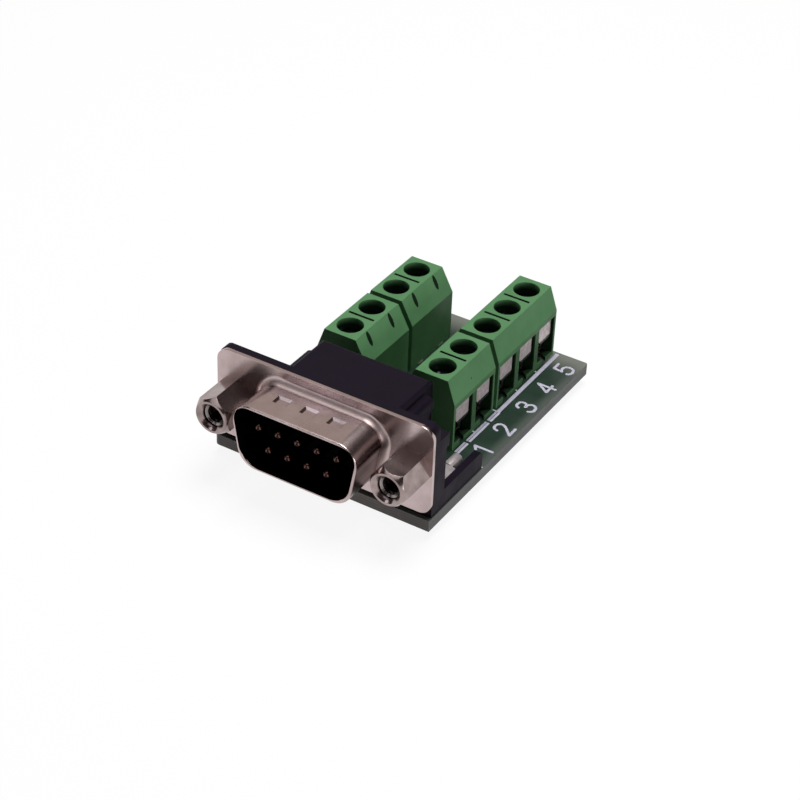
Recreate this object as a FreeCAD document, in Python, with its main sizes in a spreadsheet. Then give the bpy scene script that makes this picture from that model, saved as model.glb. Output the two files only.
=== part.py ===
import FreeCAD, Part
import math
import os

import Sketcher

# Nine-way D plug on a small board that breaks every contact out to a screw terminal.
# Frame: origin on the plug's centre line in the front plane of its flange, X across,
# Y from the flange to the rear of the board, Z up. The mating side looks along -Y.

SIZES = {
    # board
    "board_margin": 0.295,
    "rear_margin": 0.58,
    "board_thickness": 1.6,
    "board_shift": -0.32,
    "board_overhang": 0.12,
    "board_round": 0.8,
    "board_cut": 0.2,
    "flange_lift": 0.665,
    "tail_length": 1.3,
    "drill_gap": 0.15,
    "tail_hole": 1.65,
    # plug shell
    "sheet_metal": 0.5,
    "flange_margin": 2.91,
    "flange_height": 12.55,
    "flange_round": 1.7,
    "hood_width": 17.4,
    "hood_height": 7.95,
    "hood_slant": 10.0,
    "hood_round": 2.25,
    "hood_depth": 6.25,
    "hood_root_round": 0.9,
    "hood_rim_round": 0.22,
    "dimple_width": 2.3,
    "dimple_length": 1.8,
    "dimple_depth": 0.3,
    "dimple_slope": 40.0,
    "dimple_spacing": 3.8,
    "dimple_setback": 2.9,
    "dimple_rim": 0.15,
    # plug contacts
    "pin_pitch": 2.77,
    "pin_row_gap": 2.84,
    "pin_diameter": 1.0,
    "pin_reach": 5.7,
    "pin_shoulder": 3.6,
    "pin_dome": 0.45,
    "leg_width": 0.6,
    "leg_thickness": 0.45,
    "leg_bend": 0.9,
    "leg_setback": 3.1,
    "leg_row_gap": 2.84,
    "leg_space": 1.16,
    "pin_clearance": 0.05,
    # moulded body
    "plastic_inset": 0.15,
    "backing_thickness": 1.3,
    "backing_round": 1.0,
    "core_depth": 5.0,
    "boss_gap": 0.1,
    "end_block_reach": 2.195,
    "end_block_depth": 2.85,
    "end_block_top": 3.7,
    "ledge_depth": 0.6,
    "ledge_thickness": 1.85,
    "rear_top": 3.56,
    "rear_wall": 0.75,
    "rear_roof": 0.9,
    "rear_round": 0.6,
    "rear_lift": 0.3,
    "cheek_width": 1.35,
    "cheek_drop": 1.05,
    "cheek_setback": 1.8,
    "cheek_round": 0.9,
    "cheek_upright": 1.0,
    "cheek_rake": 2.4,
    "channel_wall": 0.95,
    "channel_height": 2.6,
    "channel_floor": 1.1,
    "channel_floor_setback": 0.4,
    "channel_floor_margin": 0.4,
    "channel_end_margin": 1.2,
    "channel_end_cut": 0.35,
    # screwlocks, inserts and ground straps
    "screw_offset": 3.795,
    "screwlock_turn_left": -24.0,
    "screwlock_turn_right": 9.0,
    "hex_flats": 4.76,
    "hex_length": 5.5,
    "hex_face": 4.4,
    "hex_cut": 1.2,
    "thread_diameter": 2.84,
    "thread_depth": 4.9,
    "thread_tip": 0.7,
    "mouth_diameter": 3.8,
    "stud_diameter": 2.8,
    "stud_length": 5.2,
    "stud_gap": 0.08,
    "insert_diameter": 4.1,
    "insert_gap": 0.05,
    "insert_face": 0.9,
    "strap_thickness": 0.6,
    "strap_half_width": 2.4,
    "strap_rise": 1.6,
    "strap_bend": 0.5,
    "strap_play": 0.1,
    "strap_side_gap": 0.745,
    "foot_half_width": 1.65,
    "foot_end": 8.8,
    "foot_round": 1.2,
    "lock_width": 1.4,
    "lock_length": 2.45,
    "lock_metal": 0.4,
    "lock_rise": 0.15,
    "lock_round": 0.62,
    "lock_hole": 3.1,
    # terminal housings
    "pole_pitch": 5.08,
    "end_wall": 0.44,
    "shoulder_drop": 3.24,
    "block_back": 4.16,
    "block_front": 3.37,
    "top_back": 2.4,
    "top_front": 2.25,
    "back_wall": 0.75,
    "rib_width": 0.98,
    "entry_rise": 2.25,
    "cage_roof_rise": 0.95,
    "screw_roof_rise": 1.2,
    "top_rise": 1.81,
    "access_diameter": 3.5,
    "groove_length": 3.7,
    "groove_width": 0.28,
    "groove_depth": 0.5,
    "slot_length": 2.1,
    "slot_width": 0.5,
    "slot_depth": 0.6,
    "slot_top": 0.02,
    "sill_thickness": 0.55,
    "sill_reach": 1.1,
    "sill_width": 1.75,
    "sill_peak": 1.05,
    "toe_thickness": 0.85,
    "toe_reach": 0.95,
    "toe_width": 1.35,
    "row_inset": 8.6,
    "right_gap": 1.28,
    "left_gap": 2.33,
    "block_gap": 0.82,
    # clamp screws
    "head_gap": 0.1,
    "head_thickness": 1.0,
    "shank_diameter": 2.5,
    "tip_gap": 0.1,
    "slot_cut_width": 0.6,
    "slot_cut_depth": 0.55,
    # wire cages
    "cage_gap": 0.15,
    "cage_depth": 3.8,
    "cage_wall": 0.55,
    "cage_floor": 0.8,
    "cage_lift": 0.15,
    "cage_plate": 1.0,
    "cage_round": 0.4,
    "cage_thread_gap": 0.1,
    # contact bars of the terminals
    "bar_underside": 3.1,
    "bar_thickness": 0.8,
    "bar_side_gap": 0.2,
    "bar_play": 0.15,
    "bar_round": 0.64,
    "contact_gap": 0.05,
    "contact_start": 0.3,
    "tongue_setback": 0.34,
    "tongue_thickness": 0.8,
    "tongue_side_gap": 0.33,
    "tongue_top_gap": 0.15,
    "tongue_cut": 0.9,
    "tongue_cut_height": 1.17,
    "tail_width": 1.0,
    "tail_thickness": 0.7,
    # solder
    "fillet_height": 0.8,
    "fillet_radius": 1.0,
    "fillet_tip": 0.15,
    "solder_gap": 0.02,
    # how far one volume starts inside the one it joins, and a cut runs past a face
    "overlap": 0.2,
    "overrun": 0.5,
}

# Housings and the numbers of their poles, from the plug towards the rear of the board.
RIGHT_BLOCKS = (("terminal_housing_front_right", "12"), ("terminal_housing_rear_right", "345"))
LEFT_BLOCKS = (("terminal_housing_front_left", "67"), ("terminal_housing_rear_left", "89"))

doc = FreeCAD.newDocument("dsub_terminal_adapter")
sheet = doc.addObject("Spreadsheet::Sheet", "Sizes")
for row, (alias, number) in enumerate(SIZES.items(), start=1):
    sheet.set("A%d" % row, alias)
    sheet.set("B%d" % row, str(number))
    sheet.setAlias("B%d" % row, alias)
doc.recompute()

labelled = []


class Size:
    """A length with the formula it comes from, so that a drawing and its binding agree."""

    def __init__(self, number, formula):
        self.number = number
        self.formula = formula

    def __add__(self, other):
        other = as_size(other)
        return Size(self.number + other.number, "(%s + %s)" % (self.formula, other.formula))

    def __sub__(self, other):
        other = as_size(other)
        return Size(self.number - other.number, "(%s - %s)" % (self.formula, other.formula))

    def __mul__(self, other):
        other = as_size(other)
        return Size(self.number * other.number, "(%s * %s)" % (self.formula, other.formula))

    def __truediv__(self, other):
        other = as_size(other)
        return Size(self.number / other.number, "(%s / %s)" % (self.formula, other.formula))

    def __neg__(self):
        return Size(-self.number, "(0 - %s)" % self.formula)

    def tangent(self):
        return Size(math.tan(math.radians(self.number)), "tan(%s)" % self.formula)

    def sine(self):
        return Size(math.sin(math.radians(self.number)), "sin(%s)" % self.formula)

    def cosine(self):
        return Size(math.cos(math.radians(self.number)), "cos(%s)" % self.formula)


def as_size(value):
    if isinstance(value, Size):
        return value
    return Size(float(value), repr(float(value)))


def size(alias):
    return Size(SIZES[alias], "Sizes." + alias)


def angle_between(rise, run):
    """Angle in degrees whose tangent is run over rise."""
    degrees = math.degrees(math.atan2(run.number, rise.number))
    return Size(degrees, "atan2(%s; %s)" % (run.formula, rise.formula))


ZERO = as_size(0)


def near(first, second, within=0.01):
    return abs(first - second) < within


def origin_feature(body, role):
    return [feature for feature in body.Origin.OriginFeatures if feature.Role == role][0]


def new_body(label, x=ZERO, y=ZERO, z=ZERO, turn=0.0, axis=(0, 0, 1)):
    body = doc.addObject("PartDesign::Body", label)
    body.Label = label
    body.Placement = FreeCAD.Placement(FreeCAD.Vector(), FreeCAD.Rotation(FreeCAD.Vector(*axis), turn))
    for name, value in (("x", x), ("y", y), ("z", z)):
        body.setExpression("Placement.Base." + name, as_size(value).formula)
    labelled.append(body)
    return body


def new_sketch(body, role, name, offset=ZERO):
    """A sketch parallel to one of the body's own planes, moved along that plane's normal."""
    sketch = body.newObject("Sketcher::SketchObject", name)
    sketch.AttachmentSupport = [(origin_feature(body, role), "")]
    sketch.MapMode = "FlatFace"
    sketch.setExpression("AttachmentOffset.Base.z", as_size(offset).formula)
    return sketch


def bind(sketch, kind, *place):
    """One dimension of a sketch, whose last argument is the Size that drives it."""
    index = sketch.addConstraint(Sketcher.Constraint(kind, *place[:-1], place[-1].number))
    sketch.setExpression("Constraints[%d]" % index, place[-1].formula)


def bind_point(sketch, geometry, vertex, point):
    bind(sketch, "DistanceX", -1, 1, geometry, vertex, point[0])
    bind(sketch, "DistanceY", -1, 1, geometry, vertex, point[1])


def outline(sketch, points):
    """A closed outline through points, each held by its two distances from the origin."""
    points = [(as_size(a), as_size(b)) for a, b in points]
    corners = [FreeCAD.Vector(a.number, b.number, 0) for a, b in points]
    first = sketch.GeometryCount
    count = len(points)
    for i in range(count):
        sketch.addGeometry(Part.LineSegment(corners[i], corners[(i + 1) % count]), False)
    for i in range(count):
        join(sketch, first + i, 2, first + (i + 1) % count, 1)
        bind_point(sketch, first + i, 1, points[i])


def box_outline(sketch, x0, x1, y0, y1):
    outline(sketch, [(x0, y0), (x1, y0), (x1, y1), (x0, y1)])


def circle(sketch, x, y, radius):
    x, y, radius = as_size(x), as_size(y), as_size(radius)
    centre = FreeCAD.Vector(x.number, y.number, 0)
    index = sketch.addGeometry(Part.Circle(centre, FreeCAD.Vector(0, 0, 1), radius.number), False)
    bind_point(sketch, index, 3, (x, y))
    bind(sketch, "Radius", index, radius)


def pad(body, sketch, length, reverse=False):
    feature = body.newObject("PartDesign::Pad", sketch.Name + "_pad")
    feature.Profile = sketch
    feature.Reversed = reverse
    feature.setExpression("Length", as_size(length).formula)
    doc.recompute()
    return feature


def volume(body):
    return 0.0 if body.Shape.isNull() else body.Shape.Volume


def pocket(body, sketch, length, reverse=False):
    before = volume(body)
    feature = body.newObject("PartDesign::Pocket", sketch.Name + "_pocket")
    feature.Profile = sketch
    feature.Reversed = reverse
    feature.setExpression("Length", as_size(length).formula)
    doc.recompute()
    if not volume(body) < before:
        raise ValueError("nothing was cut by " + feature.Name)
    return feature


def turned(body, sketch, kind, axis="H_Axis", sweep=360.0, reverse=False):
    """A sketch turned about one of its own axes: kind is Revolution or Groove."""
    before = volume(body)
    feature = body.newObject("PartDesign::" + kind, sketch.Name + "_turn")
    feature.Profile = sketch
    feature.ReferenceAxis = (sketch, [axis])
    feature.Angle = sweep
    feature.Reversed = reverse
    doc.recompute()
    if near(volume(body), before, 1e-6):
        raise ValueError("nothing was changed by " + feature.Name)
    return feature


def soften(body, kind, property_name, radius, chosen):
    """A fillet or chamfer on the edges of the body's present shape that chosen() accepts."""
    base = body.Tip
    names = []
    for number, edge in enumerate(base.Shape.Edges, start=1):
        if chosen(edge):
            names.append("Edge%d" % number)
    if not names:
        raise ValueError("no edge to soften on " + body.Label)
    feature = body.newObject("PartDesign::" + kind, "%s_%s_%s" % (body.Name, property_name, names[0]))
    feature.Base = (base, names)
    feature.setExpression(property_name, as_size(radius).formula)
    doc.recompute()
    return feature


def fillet(body, radius, chosen):
    return soften(body, "Fillet", "Radius", radius, chosen)


def chamfer(body, cut, chosen):
    return soften(body, "Chamfer", "Size", cut, chosen)


def along(edge, axis):
    """True for a straight edge that runs along the X, Y or Z axis."""
    if not isinstance(edge.Curve, Part.Line):
        return False
    first, last = edge.Vertexes[0].Point, edge.Vertexes[-1].Point
    step = last.sub(first)
    return abs(step.dot(FreeCAD.Vector(*axis))) > 0.999 * step.Length


X_AXIS, Y_AXIS, Z_AXIS = (1, 0, 0), (0, 1, 0), (0, 0, 1)


def half(alias):
    return size(alias) / 2


overlap = size("overlap")
overrun = size("overrun")
# Across: the screwlocks stand off the hood, and the flange and the board reach past them.
screw_x = half("hood_width") + size("screw_offset")
flange_half = screw_x + size("flange_margin")
board_half = flange_half + size("board_margin")
board_left = size("board_shift") - board_half
board_right = size("board_shift") + board_half
cheek_outer = screw_x - size("strap_half_width") - size("strap_side_gap")
rear_half = cheek_outer - size("cheek_width")
stud_bore = half("stud_diameter") + size("stud_gap")

# Along: the rear hood covers both rows of legs, and the channels cover the board locks.
board_front = -size("board_overhang")
leg_row = size("core_depth") + size("leg_setback")
rear_depth = leg_row + size("leg_row_gap") + size("leg_space")
lock_y = size("foot_end") + half("lock_length")
channel_depth = size("foot_end") + size("lock_length") + size("channel_end_margin")

# Up: the plug's axis over the board, then the levels inside a terminal housing.
axis_height = half("flange_height") + size("flange_lift")
board_top = -axis_height
tail_depth = size("board_thickness") + size("tail_length")
bar_top = size("bar_underside") + size("bar_thickness")
entry_top = bar_top + size("entry_rise")
cage_roof = entry_top + size("cage_roof_rise")
screw_roof = cage_roof + size("screw_roof_rise")
block_height = screw_roof + size("top_rise")
shoulder_height = block_height - size("shoulder_drop")

# Half of the clear width of one pole's wire entry, and a housing's reach past its last screw.
jamb = (size("pole_pitch") - size("rib_width")) / 2
end_margin = jamb + size("end_wall")

# Plug contacts as x, z and the y of their board hole: the upper row, then the lower one.
plug_pins = []
for step in range(-2, 3):
    plug_pins.append((size("pin_pitch") * step, half("pin_row_gap"), leg_row + size("leg_row_gap")))
for step in range(-2, 2):
    plug_pins.append((size("pin_pitch") * step + half("pin_pitch"), -half("pin_row_gap"), leg_row))


def block_rows(blocks, first_y):
    """Label, pole count and first screw position of each housing along one side."""
    rows = []
    y = first_y
    for label, numbers in blocks:
        count = len(numbers)
        rows.append((label, count, y))
        y = y + size("pole_pitch") * (count - 1) + end_margin * 2 + size("block_gap")
    return rows


right_rows = block_rows(RIGHT_BLOCKS, rear_depth + size("right_gap") + end_margin)
left_rows = block_rows(LEFT_BLOCKS, rear_depth + size("left_gap") + end_margin)
row_offset = board_half - size("row_inset")

# Every pole as side (+1 right, -1 left) and screw position, right side first.
poles = []
for side, rows in ((1, right_rows), (-1, left_rows)):
    for label, count, first_y in rows:
        for index in range(count):
            poles.append((side, first_y + size("pole_pitch") * index))

last_block, last_count, last_y = right_rows[-1]
board_rear = last_y + size("pole_pitch") * (last_count - 1) + end_margin + size("rear_margin")

# A pole's own frame has its origin on the board under the screw and X towards the wire entry.
tail_x = -(size("block_back") - size("back_wall") - size("contact_gap") - half("tail_thickness"))


def build_board():
    """Glass-fibre board with a drilled hole for every tail and both board locks."""
    body = new_body("circuit_board", z=board_top)
    plan = new_sketch(body, "XY_Plane", "board_plan", -size("board_thickness"))
    box_outline(plan, board_left, board_right, board_front, board_rear)
    for x, z, row_y in plug_pins:
        circle(plan, x, row_y, half("leg_width") + size("drill_gap"))
    for side, y in poles:
        circle(plan, (row_offset + tail_x) * side, y, half("tail_hole"))
    for side in (-1, 1):
        circle(plan, screw_x * side, lock_y, half("lock_hole"))
    pad(body, plan, size("board_thickness"))
    corner = (board_left.number, board_front.number)
    fillet(body, size("board_round"), lambda edge: along(edge, Z_AXIS) and
           near(edge.Vertexes[0].X, corner[0]) and near(edge.Vertexes[0].Y, corner[1]))
    far = (board_right.number, board_rear.number)
    chamfer(body, size("board_cut"), lambda edge: along(edge, Z_AXIS) and
            near(edge.Vertexes[0].X, far[0]) and near(edge.Vertexes[0].Y, far[1]))


def arc(sketch, centre, radius, sweep_from, sweep_to):
    """An arc of a bound radius, between two angles in degrees."""
    middle = FreeCAD.Vector(centre[0].number, centre[1].number, 0)
    full = Part.Circle(middle, FreeCAD.Vector(0, 0, 1), radius.number)
    span = (math.radians(sweep_from), math.radians(sweep_to))
    index = sketch.addGeometry(Part.ArcOfCircle(full, *span), False)
    bind(sketch, "Radius", index, radius)
    return index


def join(sketch, first, first_vertex, second, second_vertex):
    sketch.addConstraint(Sketcher.Constraint("Coincident", first, first_vertex, second, second_vertex))


def d_outline(sketch, grow):
    """The rounded D of the plug's hood, moved outwards by one wall or inwards by a gap."""
    slant = size("hood_slant")
    corner = size("hood_round")
    radius = corner + grow
    top = half("hood_height")
    wide = half("hood_width")
    narrow = wide - slant.tangent() * top * 2
    upper_x = wide - corner * (slant / 2 + 45).tangent()
    lower_x = narrow - corner * (-slant / 2 + 45).tangent()
    upper, lower = top - corner, corner - top
    reach, drop = radius * slant.cosine(), radius * slant.sine()
    runs = (((-lower_x, lower - radius), (lower_x, lower - radius)),
            ((lower_x + reach, lower - drop), (upper_x + reach, upper - drop)),
            ((upper_x, upper + radius), (-upper_x, upper + radius)),
            ((-upper_x - reach, upper - drop), (-lower_x - reach, lower - drop)))
    centres = ((lower_x, lower), (upper_x, upper), (-upper_x, upper), (-lower_x, lower))
    tilt = slant.number
    sweeps = ((-90, -tilt), (-tilt, 90), (90, 180 + tilt), (180 + tilt, 270))
    first = sketch.GeometryCount
    for number, (start, end) in enumerate(runs):
        ends = [FreeCAD.Vector(a.number, b.number, 0) for a, b in (start, end)]
        line = sketch.addGeometry(Part.LineSegment(*ends), False)
        bind_point(sketch, line, 1, start)
        bind_point(sketch, line, 2, end)
        if number:
            join(sketch, line - 1, 2, line, 1)
        join(sketch, line, 2, arc(sketch, centres[number], radius, *sweeps[number]), 1)
    join(sketch, sketch.GeometryCount - 1, 2, first, 1)


def build_shell():
    """Drawn sheet-metal shell: a flange with a D-shaped hood and pressed dimples."""
    body = new_body("plug_shell")
    metal = size("sheet_metal")
    hood = new_sketch(body, "XZ_Plane", "hood_outside", -metal)
    d_outline(hood, metal)
    pad(body, hood, size("hood_depth") + metal)
    front_y = -size("hood_depth").number

    plate = new_sketch(body, "XZ_Plane", "flange_plate", -metal)
    across, tall = flange_half, half("flange_height")
    box_outline(plate, -across, across, -tall, tall)
    pad(body, plate, metal)
    fillet(body, size("flange_round"), lambda edge: along(edge, Y_AXIS) and
           near(abs(edge.Vertexes[0].X), across.number))
    hood_reach = (half("hood_width") + metal * 2).number
    fillet(body, size("hood_root_round"), lambda edge: near(edge.BoundBox.YMin, 0) and
           near(edge.BoundBox.YMax, 0) and
           edge.BoundBox.XMax < hood_reach and edge.BoundBox.XMin > -hood_reach)

    inside = new_sketch(body, "XZ_Plane", "hood_inside", size("hood_depth") + overrun)
    d_outline(inside, ZERO)
    pocket(body, inside, size("hood_depth") + metal + overrun * 2)

    screw = new_sketch(body, "XZ_Plane", "screw_holes", -metal)
    for side in (-1, 1):
        circle(screw, screw_x * side, ZERO, stud_bore)
    pocket(body, screw, metal, reverse=True)

    for name, level, out in (("top", half("hood_height"), 1), ("bottom", -half("hood_height"), -1)):
        build_dimples(body, name, level, out)

    fillet(body, size("hood_rim_round"), lambda edge: near(edge.BoundBox.YMin, front_y) and
           near(edge.BoundBox.YMax, front_y))


def build_dimples(body, name, level, out):
    """Three pressed dimples in one long wall: hollow outside and raised inside."""
    y0 = -size("dimple_setback") - half("dimple_length")
    y1 = -size("dimple_setback") + half("dimple_length")
    rim = size("dimple_rim")
    raised = new_sketch(body, "XY_Plane", "dimple_raised_" + name, level)
    hollow = new_sketch(body, "XY_Plane", "dimple_hollow_" + name, level + size("sheet_metal") * out)
    for index in (-1, 0, 1):
        x0 = size("dimple_spacing") * index - half("dimple_width")
        x1 = size("dimple_spacing") * index + half("dimple_width")
        box_outline(raised, x0, x1, y0, y1)
        box_outline(hollow, x0 + rim, x1 - rim, y0 + rim, y1 - rim)
    for feature in (pad(body, raised, size("dimple_depth"), reverse=out > 0),
                    pocket(body, hollow, size("dimple_depth"), reverse=out < 0)):
        feature.setExpression("TaperAngle", (-size("dimple_slope")).formula)
    doc.recompute()


def build_body():
    """Black moulding: flange backing, pin core, rear hood, end blocks and channel feet."""
    body = new_body("connector_body")
    metal = size("sheet_metal")
    inset = size("plastic_inset")
    across = flange_half - inset
    tall = half("flange_height") - inset
    back = metal + size("backing_thickness")

    plate = new_sketch(body, "XZ_Plane", "backing_plate", -back)
    box_outline(plate, -across, across, -tall, tall)
    pad(body, plate, size("backing_thickness"))
    fillet(body, size("backing_round"), lambda edge: along(edge, Y_AXIS))

    boss = new_sketch(body, "XZ_Plane", "front_boss", -metal - overlap)
    d_outline(boss, -size("boss_gap"))
    pad(body, boss, metal + overlap)

    rear_bottom = board_top + size("rear_lift")
    rear = new_sketch(body, "XZ_Plane", "rear_hood", -rear_depth)
    box_outline(rear, -rear_half, rear_half, rear_bottom, size("rear_top"))
    pad(body, rear, rear_depth - metal)
    roof_z = size("rear_top").number
    rear_y = rear_depth.number
    fillet(body, size("rear_round"), lambda edge: near(edge.BoundBox.ZMin, roof_z) and
           near(edge.BoundBox.YMax, rear_y))

    cheek_back = rear_depth - size("cheek_setback")
    cheek_top = size("rear_top") - size("cheek_drop")
    cheek_bend = cheek_top - size("cheek_upright")
    for side, name in ((-1, "left"), (1, "right")):
        cheek = new_sketch(body, "YZ_Plane", "cheek_" + name, (rear_half - overlap) * side)
        outline(cheek, [(metal, rear_bottom), (cheek_back - size("cheek_rake"), rear_bottom),
                        (cheek_back - size("cheek_rake"), cheek_bend - size("cheek_rake")),
                        (cheek_back, cheek_bend), (cheek_back, cheek_top), (metal, cheek_top)])
        pad(body, cheek, size("cheek_width") + overlap, reverse=side < 0)
    cheek_z, cheek_x = cheek_top.number, cheek_outer.number
    fillet(body, size("cheek_round"), lambda edge: along(edge, Y_AXIS) and
           near(edge.Vertexes[0].Z, cheek_z) and near(abs(edge.Vertexes[0].X), cheek_x))

    block_back = metal + size("end_block_depth")
    block_inner = screw_x - size("end_block_reach")
    blocks = new_sketch(body, "XZ_Plane", "end_blocks", -block_back)
    ledges = new_sketch(body, "XZ_Plane", "ledges", -block_back - size("ledge_depth"))
    for side in (-1, 1):
        box_outline(blocks, block_inner * side, across * side,
                    board_top, size("end_block_top"))
        box_outline(ledges, block_inner * side, across * side,
                    size("end_block_top") - size("ledge_thickness"), size("end_block_top"))
    pad(body, blocks, size("end_block_depth"))
    pad(body, ledges, size("ledge_depth") + overlap)

    floor_end = size("foot_end") - size("channel_floor_setback")
    walls = new_sketch(body, "XY_Plane", "channel_walls", board_top)
    floors = new_sketch(body, "XY_Plane", "channel_floors", board_top)
    for side in (-1, 1):
        box_outline(walls, (across - size("channel_wall")) * side, across * side,
                    block_back - overlap, channel_depth)
        box_outline(floors, (screw_x - size("foot_half_width") - size("channel_floor_margin")) * side,
                    (across - half("channel_wall")) * side,
                    block_back - overlap, floor_end)
    pad(body, walls, size("channel_height"))
    pad(body, floors, size("channel_floor"))
    wall_top = (board_top + size("channel_height")).number
    chamfer(body, size("channel_end_cut"), lambda edge: along(edge, X_AXIS) and
            near(edge.BoundBox.ZMin, wall_top) and near(edge.BoundBox.YMax, channel_depth.number))

    hollow = new_sketch(body, "XY_Plane", "leg_space", rear_bottom)
    inner_half = rear_half - size("rear_wall")
    box_outline(hollow, -inner_half, inner_half, size("core_depth"), rear_depth - size("rear_wall"))
    roof = size("rear_top") - size("rear_roof") - rear_bottom
    pocket(body, hollow, roof, reverse=True)

    pins = new_sketch(body, "XZ_Plane", "pin_holes", ZERO)
    for x, z, row_y in plug_pins:
        circle(pins, x, z, half("pin_diameter") + size("pin_clearance"))
    pocket(body, pins, size("core_depth") + overrun)

    studs = new_sketch(body, "XZ_Plane", "stud_holes", -metal)
    seats = new_sketch(body, "XZ_Plane", "insert_seats", -block_back)
    for side in (-1, 1):
        circle(studs, screw_x * side, ZERO, stud_bore)
        circle(seats, screw_x * side, ZERO, half("insert_diameter") + size("insert_gap"))
    pocket(body, studs, size("end_block_depth"))
    pocket(body, seats, size("end_block_depth") - size("insert_face"), reverse=True)


def build_pin(number, x, z, row_y):
    """Round contact with a domed tip and a flat leg bent down into the board."""
    body = new_body("contact_pin_%d" % number, x=x, z=z)
    radius = half("pin_diameter")
    section = new_sketch(body, "YZ_Plane", "pin_section_%d" % number)
    outline(section, [(-size("pin_reach"), ZERO), (size("pin_shoulder"), ZERO),
                      (size("pin_shoulder"), radius), (-size("pin_reach"), radius)])
    turned(body, section, "Revolution")
    tip_y = -size("pin_reach").number
    fillet(body, size("pin_dome"), lambda edge: near(edge.BoundBox.YMin, tip_y) and
           near(edge.BoundBox.YMax, tip_y))

    bend = size("leg_bend")
    thick = half("leg_thickness")
    foot_z = board_top - tail_depth - z
    leg = new_sketch(body, "YZ_Plane", "leg_%d" % number, -half("leg_width"))
    outline(leg, [(size("pin_shoulder") - overlap, -thick), (row_y - thick, -thick),
                  (row_y - thick, foot_z), (row_y + thick, foot_z), (row_y + thick, thick),
                  (size("pin_shoulder") - overlap, thick)])
    pad(body, leg, size("leg_width"))
    for step, turn in ((thick, bend + thick), (-thick, bend - thick)):
        corner = ((row_y + step).number, step.number)
        fillet(body, turn, lambda edge: along(edge, X_AXIS) and
               near(edge.Vertexes[0].Y, corner[0]) and near(edge.Vertexes[0].Z, corner[1]))


def build_screwlock(label, side, turn):
    """Hexagonal standoff with a countersunk thread in front and a stud behind."""
    body = new_body(label, x=screw_x * side, turn=turn, axis=Y_AXIS)
    flats = half("hex_flats")
    across = flats / as_size(30).cosine()
    hexagon = new_sketch(body, "XZ_Plane", "hexagon_" + label)
    corners = []
    for angle in range(0, 360, 60):
        corners.append((across * as_size(angle).cosine(), across * as_size(angle).sine()))
    outline(hexagon, corners)
    pad(body, hexagon, size("hex_length"))

    front = -size("hex_length")
    crown = new_sketch(body, "YZ_Plane", "crown_" + label)
    outline(crown, [(front, half("hex_face")), (front + size("hex_cut"), across + overlap),
                    (front, across + overlap)])
    turned(body, crown, "Groove")

    bore = new_sketch(body, "YZ_Plane", "bore_" + label)
    thread = half("thread_diameter")
    mouth = half("mouth_diameter")
    bottom = front + size("thread_depth")
    outline(bore, [(front - overlap, ZERO), (bottom + size("thread_tip"), ZERO), (bottom, thread),
                   (front + (mouth - thread), thread), (front, mouth), (front - overlap, mouth)])
    turned(body, bore, "Groove")

    stud = new_sketch(body, "XZ_Plane", "stud_" + label, -size("stud_length"))
    circle(stud, ZERO, ZERO, half("stud_diameter"))
    pad(body, stud, size("stud_length") + overlap)


def build_insert(label, side):
    """Threaded brass insert pressed into the end block from behind."""
    face = size("sheet_metal") + size("insert_face")
    body = new_body(label, x=screw_x * side, y=face)
    length = size("end_block_depth") - size("insert_face")
    ring = new_sketch(body, "XZ_Plane", "ring_" + label, -length)
    circle(ring, ZERO, ZERO, half("insert_diameter"))
    circle(ring, ZERO, ZERO, stud_bore)
    pad(body, ring, length)


def build_strap(label, side):
    """Folded ground strap: plate behind the end block, foot in the channel, board lock."""
    y = size("sheet_metal") + size("end_block_depth")
    body = new_body(label, x=screw_x * side, y=y, z=board_top)
    metal = size("strap_thickness")
    floor = size("channel_floor")
    bend = size("strap_bend")
    foot_end = size("foot_end") - y
    rise = axis_height + size("strap_rise")
    wide = size("strap_half_width")
    reach = size("foot_half_width")
    fold = new_sketch(body, "YZ_Plane", "fold_" + label, -reach)
    outline(fold, [(ZERO, floor), (bend * 2 + metal, floor), (bend * 2 + metal, floor + metal),
                   (metal, floor + metal), (metal, rise), (ZERO, rise)])
    pad(body, fold, reach * 2)
    inner = (metal.number, (floor + metal).number)
    fillet(body, bend, lambda edge: along(edge, X_AXIS) and
           near(edge.Vertexes[0].Y, inner[0]) and near(edge.Vertexes[0].Z, inner[1]))
    fillet(body, bend + metal, lambda edge: along(edge, X_AXIS) and
           near(edge.Vertexes[0].Y, 0) and near(edge.Vertexes[0].Z, floor.number))
    plate = new_sketch(body, "XZ_Plane", "plate_" + label, -metal)
    box_outline(plate, -wide, wide, size("channel_height") + size("strap_play"), rise)
    pad(body, plate, metal)

    foot = new_sketch(body, "XY_Plane", "foot_" + label, floor)
    box_outline(foot, -reach, reach, bend * 2, foot_end)
    pad(body, foot, metal)
    fillet(body, size("foot_round"), lambda edge: along(edge, Z_AXIS) and
           near(edge.Vertexes[0].Y, foot_end.number))

    lock_half = half("lock_width")
    lock_metal = size("lock_metal")
    crest = floor + metal + size("lock_rise")
    depth = -tail_depth
    arch = new_sketch(body, "XZ_Plane", "board_lock_" + label, -foot_end - size("lock_length"))
    slit = lock_half - lock_metal
    outline(arch, [(-lock_half, depth), (-slit, depth), (-slit, crest - lock_metal),
                   (slit, crest - lock_metal), (slit, depth), (lock_half, depth),
                   (lock_half, crest), (-lock_half, crest)])
    pad(body, arch, size("lock_length"))
    fillet(body, size("lock_round"), lambda edge: along(edge, Y_AXIS) and
           near(edge.Vertexes[0].Z, crest.number) and near(abs(edge.Vertexes[0].X), lock_half.number))
    neck = new_sketch(body, "XY_Plane", "neck_" + label, floor)
    box_outline(neck, -lock_half, lock_half, foot_end - metal, foot_end + lock_metal)
    pad(body, neck, metal)

    hole = new_sketch(body, "XZ_Plane", "strap_hole_" + label)
    circle(hole, ZERO, axis_height, stud_bore)
    pocket(body, hole, metal + overrun)


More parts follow.
